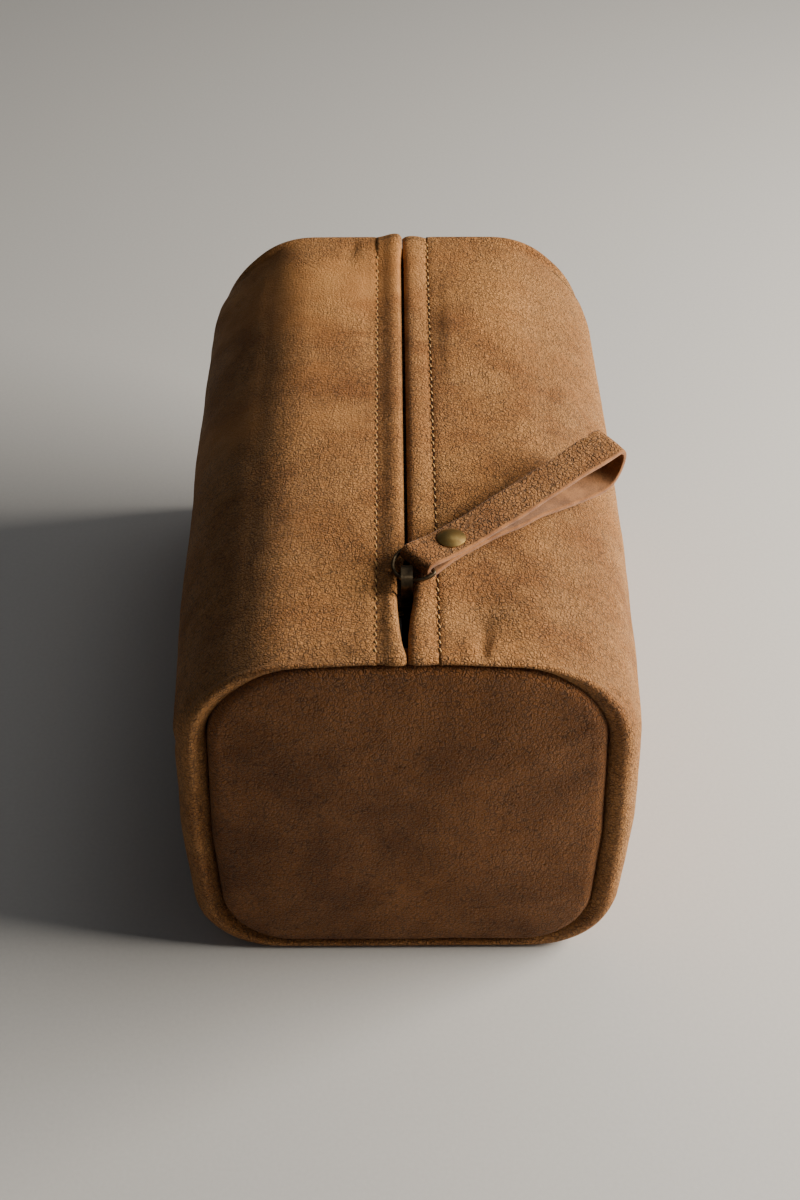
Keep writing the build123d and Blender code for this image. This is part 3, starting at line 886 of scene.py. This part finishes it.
# ======== stitches ========
def stitch(centre, direction, length, width, height, rings=7, around=8):
    """One thread stitch: a capsule that arches up in the middle and dives at both ends."""
    direction = np.asarray(direction, float)
    direction = direction / np.linalg.norm(direction)
    sideways = np.cross(UP, direction) if abs(direction[2]) < 0.9 else np.array((1.0, 0.0, 0.0))
    sideways = sideways / np.linalg.norm(sideways)
    upward = np.cross(direction, sideways)
    points = []
    for i in range(rings):
        t = 2 * i / (rings - 1) - 1
        t = math.copysign(abs(t) ** 0.8, t)
        radius = width / 2 * max(0.18, (1 - abs(t) ** 3.5) ** 0.5)
        middle = centre + direction * (t * length / 2) + upward * (height * (0.5 - 1.2 * abs(t) ** 3))
        for k in range(around):
            angle = 2 * math.pi * k / around
            round_it = sideways * math.cos(angle) + upward * 0.8 * math.sin(angle)
            points.append(middle + radius * round_it)
    faces = turned(grid_faces(rings, around, close_columns=True))
    faces.append(tuple(range(around)))
    faces.append(tuple(reversed(range((rings - 1) * around, rings * around))))
    return np.array(points), faces


def pit(centre, wide, long):
    """A needle hole: a small dimple coloured in the painted shade of a hole, slanted like the stitches."""
    points, around = [], 10
    for radius, height in ((1.0, -0.25), (0.8, 0.04), (0.4, 0.05)):
        for k in range(around):
            angle = 2 * math.pi * k / around
            on = radius * long / 2 * math.sin(angle)
            offset = (radius * wide / 2 * math.cos(angle) + 0.5 * STITCH_SLANT * on, on, height)
            points.append(np.add(centre, offset))
    faces = grid_faces(3, around, close_columns=True)
    faces.append(tuple(range(2 * around, 3 * around)))
    return np.array(points), faces


def joined(shapes):
    """Several (points, faces, material) as one."""
    points, faces, pick = [], [], []
    total = 0
    for shape_points, shape_faces, material in shapes:
        points.append(shape_points)
        faces += [tuple(i + total for i in f) for f in shape_faces]
        pick += [material] * len(shape_faces)
        total += len(shape_points)
    return np.vstack(points), faces, pick


def make_mouth_stitches():
    materials = [seam_thread, needle_hole_shade]
    for side, word in SIDES:
        shapes = []
        for n in range(STITCH_COUNT):
            y = (n - (STITCH_COUNT - 1) / 2) * STITCH_PITCH
            x = side * STITCH_X
            surface = TOP - GROOVE_DEPTH + far_rise(y)
            centre = (x + 0.07 * math.sin(2.4 * n + side), y + 0.05 * math.cos(3.1 * n), surface + 0.12)
            slant = (STITCH_SLANT + 0.04 * math.sin(1.7 * n), 1.0, 0.0)
            shapes.append((*stitch(centre, slant, *MOUTH_STITCH), 0))
            hole = (x + 0.02, y + STITCH_PITCH / 2, surface + 0.02)
            shapes.append((*pit(hole, *NEEDLE_HOLE[side]), 1))
        points, faces, pick = joined(shapes)
        made = piece(f"mouth_stitches_{word}", domed(points), faces, "bag", materials, pick)
        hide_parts(f"zip_stitching_{word}")


def make_seam_stitches():
    """The hidden seam's thread, inside the turned-in hems at both ends."""
    ring = closed_path(PANEL_ROUNDS, SEAM_INSET)
    numbers = np.arange(SEAM_STITCHES)
    places = along(ring, (numbers + 0.5) / SEAM_STITCHES)
    ahead = along(ring, (numbers + 0.6) / SEAM_STITCHES)
    for sign, word in ((-1, "front"), (1, "rear")):
        shapes = []
        for (x, z), (next_x, next_z) in zip(places, ahead):
            direction = (next_x - x, 0.0, next_z - z)
            shapes.append((*stitch((x, sign * SEAM_Y, z), direction, *SEAM_STITCH, rings=5, around=6), 0))
        points, faces, _ = joined(shapes)
        made = piece(f"{word}_seam_stitches", domed(points), faces, "bag", [seam_thread])
        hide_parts(f"{word}_seam_thread")


make_mouth_stitches()
make_seam_stitches()


# ======== zip ========
def tooth(centre, size):
    """A tooth with its edges rounded off."""
    half = np.array(size) / 2
    bevel = 0.22
    corners = ((-1, -0.6), (-0.6, -1), (0.6, -1), (1, -0.6), (1, 0.6), (0.6, 1), (-0.6, 1), (-1, 0.6))
    points = []
    for level, pull in ((-1, bevel), (-0.65, 0.0), (0.65, 0.0), (1, bevel)):
        for sx, sy in corners:
            points.append(np.add(centre, (sx * (half[0] - pull), sy * (half[1] - pull), level * half[2])))
    faces = grid_faces(4, 8, close_columns=True)
    faces.append(tuple(reversed(range(8))))
    faces.append(tuple(range(24, 32)))
    return np.array(points), faces


def make_tooth_row(name, side, across, start, width, count):
    """A row of teeth that far from the bag's middle. The two sides' teeth lie half a pitch apart."""
    stagger = 0.5 * TOOTH_PITCH if side > 0 else 0.0
    shapes = []
    for n in range(count):
        centre = (side * across, start + stagger + n * TOOTH_PITCH, CHAIN_Z)
        shapes.append((*tooth(centre, (width, 1.25, 2.3)), 0))
    points, faces, _ = joined(shapes)
    return piece(name, points, faces, "bag", [tooth_brass])


def make_teeth():
    """The closed chain runs ahead of the slider, and the open rows wait under the folds for it to pass."""
    count = int((CHAIN_END - CHAIN_START) / TOOTH_PITCH)
    for side, word in SIDES:
        closed = make_tooth_row(f"zip_chain_{word}", side, 0.42, CHAIN_START + 0.6, 2.0, count)
        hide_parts(f"zip_teeth_{word}")
        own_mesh(closed)
        make_tooth_row(f"zip_row_{word}", side, 2.15, ROW_START, 1.1, count + 2)


def make_tapes():
    x, level = curve(TAPE_LINE, 0.9).T
    places = np.linspace(-TAPE_HALF, TAPE_HALF, 113)
    for side, word in SIDES:
        grid = []
        for y in places:
            lift = 0.05 * math.sin(y / 3.7 + side) * smooth(x, 6.0, 9.0)
            grid.append(np.stack([side * x, np.full(len(x), y), level + TAPE / 2 + lift], 1))
        points = np.vstack(grid)
        faces = facing(points, grid_faces(len(places), len(x)), UP)
        skin, skin_faces = thickened(points, faces, TAPE)
        made = piece(f"zip_tape_weave_{word}", skin, skin_faces, "bag", [tape_cloth])
        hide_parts(f"zip_tape_{word}")


make_teeth()
make_tapes()


# ======== lining ========
def make_lining_sleeve():
    wide, narrow = (
        along(opened(outline(rounds, LINING_INSET), LINING_REACH), np.linspace(0, 1, 150))
        for rounds in (BODY_ROUNDS, END_ROUNDS)
    )
    places = np.linspace(-LINING_HALF, LINING_HALF, 76)
    loops = [(y, narrow + (wide - narrow) * fullness(y)) for y in places]
    points = np.vstack([np.stack([ring[:, 0], np.full(len(ring), y), ring[:, 1]], 1) for y, ring in loops])
    faces = facing(points, grid_faces(len(places), len(wide)), points - (0, 0, MIDDLE_Z))
    soft = np.abs(0.9 * cloud(points * (1, 0.5, 1), 24.0, 83.0)) + np.abs(0.5 * cloud(points, 9.0, 87.0))
    points = points - normals(points, faces) * soft[:, None]
    skin, skin_faces = thickened(points, faces, 0.6)
    made = piece("body_lining_cloth", skin, skin_faces, "bag", [lining_cloth])
    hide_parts("body_lining")


def make_lining_ends():
    count = 22
    ring, share = disc_rings(count)
    edge = along(closed_path(END_ROUNDS, LINING_INSET), share.ravel())
    middle = np.array([(0.0, MIDDLE_Z)])
    flat = middle + (edge - middle) * ring.reshape(-1, 1)
    level = np.minimum(flat[:, 1], LINING_TOP)
    for sign, word in ((-1, "front"), (1, "rear")):
        points = np.stack([flat[:, 0], np.full(len(flat), sign * (LINING_HALF + 1.1)), level], 1)
        points[:, 1] -= sign * np.abs(0.6 * cloud(points, 19.0, 91.0 + sign))
        faces = facing(points, grid_faces(2 * count + 1, 2 * count + 1), (0, sign, 0))
        skin, skin_faces = thickened(points, faces, 0.5)
        made = piece(f"{word}_lining_cloth", skin, skin_faces, "bag", [lining_cloth])
        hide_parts(f"{word}_end_lining")


make_lining_sleeve()
make_lining_ends()


# ======== pull strap ========
# the strap's materials, by their index
GRAIN_SIDE = 0
CUT_EDGE = 1
INSIDE = 2


def strap_path():
    """The strap's middle line, closed: round the bar, flat through the rivet, and out round the loop."""
    knots = (
        (RIVET_AT, -0.86), (9.0, -0.95), (4.6, -1.45), (1.4, -1.9), (-1.1, -1.55), (-1.9, 0.0),
        (-1.1, 1.55), (1.4, 1.9), (4.6, 1.45), (9.0, 0.95), (RIVET_AT, 0.86), (18.0, 0.9),
        (30.0, 1.6), (45.0, 2.6), (60.0, 3.7), (71.0, 4.4), (79.0, 4.9), (82.4, 4.9), (83.9, 3.4),
        (84.0, 0.6), (82.6, -3.0), (78.0, -5.9), (70.0, -6.1), (60.0, -4.6), (49.0, -3.3), (38.0, -2.5),
        (27.0, -1.4), (18.0, -0.9),
    )
    return curve(knots, 0.85, closed=True)[:-1]


def strap_section():
    """Across the strap, once round: (height, sideways, index of its material)."""
    corner = 0.38
    flat = np.linspace(-STRAP_HALF + corner, STRAP_HALF - corner, 15)
    rounded = [
        (STRAP / 2 - corner * (1 - math.sin(angle)), STRAP_HALF - corner * (1 - math.cos(angle)))
        for angle in np.radians((72, 54, 36, 18))
    ]
    edge = rounded + [(-height, sideways) for height, sideways in reversed(rounded)]
    section = [(STRAP / 2, sideways, GRAIN_SIDE) for sideways in flat]
    section += [(height, sideways, CUT_EDGE) for height, sideways in edge]
    section += [(-STRAP / 2, sideways, INSIDE) for sideways in reversed(flat)]
    section += [(height, -sideways, CUT_EDGE) for height, sideways in reversed(edge)]
    return section


def strap_shift(d, upper, height, sideways):
    """How far out and across a point of the section lies, at distance d from the bar: curled and notched."""
    edge = sideways / STRAP_HALF
    across = sideways * (1 - 0.015 * math.exp(-((d / 9) ** 2)))
    across += 0.14 * math.sin(d / 6.3 + 2.0 * edge) * abs(edge) + 0.1 * math.sin(d / 2.9 + edge)
    out = height - 0.22 * edge**2 * (1 if d > 20 else 0.4)
    lean = 0.12 * math.sin(d / 11.0 + (0.9 if upper else 2.2))
    if upper:
        out += 0.7 * (1 - edge) * smooth(d, 45.0, 84.0)
    else:
        lean += 1.1 * smooth(d, 42.0, 62.0) * (1 - smooth(d, 78.0, 84.0))
    if upper and edge < -0.8:
        across += 1.1 * math.exp(-(((d - 78.2) / 0.7) ** 2))
    if d > 24:
        out += lean * edge
    if height > 0:
        out -= 0.22 * math.exp(-(((d - RIVET_AT) ** 2 + sideways**2) / 26.0))
    return out, across


def make_strap():
    path = strap_path()
    tangent = np.roll(path, -1, axis=0) - np.roll(path, 1, axis=0)
    tangent /= np.linalg.norm(tangent, axis=1, keepdims=True)
    outward = np.stack([-tangent[:, 1], tangent[:, 0]], 1)
    if (outward * (path - (40.0, 0.0))).sum() < 0:
        outward = -outward
    section = strap_section()
    points = []
    for at, way_out in zip(path, outward):
        for height, sideways, _ in section:
            out, across = strap_shift(at[0], at[1] > 0, height, sideways)
            d, h = at + way_out * out
            points.append(BAR + HEADING * d + UP * h + ACROSS * across)
    points = np.array(points)
    faces = grid_faces(len(path), len(section), close_rows=True, close_columns=True)
    if normals(points, faces)[0] @ (HEADING * outward[0, 0] + UP * outward[0, 1]) < 0:
        faces = turned(faces)
    kinds = [kind for _, _, kind in section]
    pick = [CUT_EDGE if CUT_EDGE in pair else pair[0] for pair in zip(kinds, kinds[1:] + kinds[:1])]
    # painted highlight on the fold round the bar, and painted shade darkening the strap towards its edges
    bar_highlight = np.exp(-((np.repeat(path[:, 0], len(section)) / 5.0) ** 2))
    sides = np.tile([abs(sideways) / STRAP_HALF for _, sideways, _ in section], len(path))
    shade = 0.16 * bar_highlight - 0.12 * smooth(sides, 0.75, 1.0)
    materials = [pull_leather, cut_edge, flesh_side]
    pick = pick * len(path)
    made = piece("pull_strap_leather", points, faces, "strap", materials, pick, shade)
    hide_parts("pull_strap")


make_strap()


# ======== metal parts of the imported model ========
def dress(node, material, bevel=0.0):
    """A CAD node keeps its shape and takes a material, and soft edges where it has a bevel."""
    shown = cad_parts[node]
    shown.data.materials.clear()
    shown.data.materials.append(material)
    if bevel:
        soft = shown.modifiers.new("soft_edges", "BEVEL")
        soft.width = bevel * MM
        soft.segments = 3
        soft.limit_method = "ANGLE"
        soft.angle_limit = math.radians(35)


dress("slider_body", dark_brass, 0.2)
dress("slider_bridge", dark_brass, 0.45)
dress("pull_ring", dark_brass)
for metal_node in ("top_stop_left", "top_stop_right", "bottom_stop"):
    dress(metal_node, tooth_brass)
for metal_node in ("rivet_cap", "rivet_base"):
    dress(metal_node, rivet_brass)


# ======== stage ========
LOOK_AT = (0.0, 0.0, 0.09)  # where the lights point, in metres
EYE = (-0.005, -0.531, 0.512)
LOOK_DOWN = 41.0
LOOK_RIGHT = 0.375
LENS = 57.5
FLOOR_HALF = 5.0


def placed(name, data, at, turn=(0.0, 0.0, 0.0)):
    """A new object of the stage, in the scene."""
    made = bpy.data.objects.new(name, data)
    made.location = at
    made.rotation_euler = turn
    bpy.context.scene.collection.objects.link(made)
    return made


def make_floor():
    mesh = bpy.data.meshes.new("floor")
    corners = [(FLOOR_HALF * x, FLOOR_HALF * y, 0) for x, y in ((-1, -1), (1, -1), (1, 1), (-1, 1))]
    mesh.from_pydata(corners, [], [(0, 1, 2, 3)])
    pale = plain("pale_floor", linear(196, 193, 188), linear(206, 203, 198), 700.0, 3.0, 0.85)
    mesh.materials.append(pale)
    placed("floor", mesh, (0, 0, -0.0003))


def soft_light(name, at, size, power, tint=(1.0, 1.0, 1.0)):
    lamp = bpy.data.lights.new(name, "AREA")
    lamp.shape = "RECTANGLE"
    lamp.size, lamp.size_y = size
    lamp.energy = power
    lamp.color = tint
    placed(name, lamp, at, (Vector(LOOK_AT) - Vector(at)).to_track_quat("-Z", "Y").to_euler())


def make_lights():
    soft_light("key", (0.84, -0.02, 0.46), (0.6, 0.5), 25.0, (1.0, 0.95, 0.87))
    soft_light("top", (0.45, 0.5, 1.25), (0.9, 0.7), 2.2)
    soft_light("fill", (-0.8, -0.9, 0.8), (1.0, 1.0), 0.2)
    world = bpy.data.worlds.new("studio")
    world.use_nodes = True
    sky = world.node_tree.nodes["Background"]
    sky.inputs["Color"].default_value = (0.8, 0.84, 0.9, 1.0)
    sky.inputs["Strength"].default_value = 0.07
    bpy.context.scene.world = world


def make_camera():
    lens = bpy.data.cameras.new("camera")
    lens.lens = LENS
    lens.sensor_width = 36.0
    lens.clip_start = 0.01
    turn = (math.radians(90 - LOOK_DOWN), 0.0, math.radians(-LOOK_RIGHT))
    bpy.context.scene.camera = placed("camera", lens, EYE, turn)


make_floor()
make_lights()
make_camera()
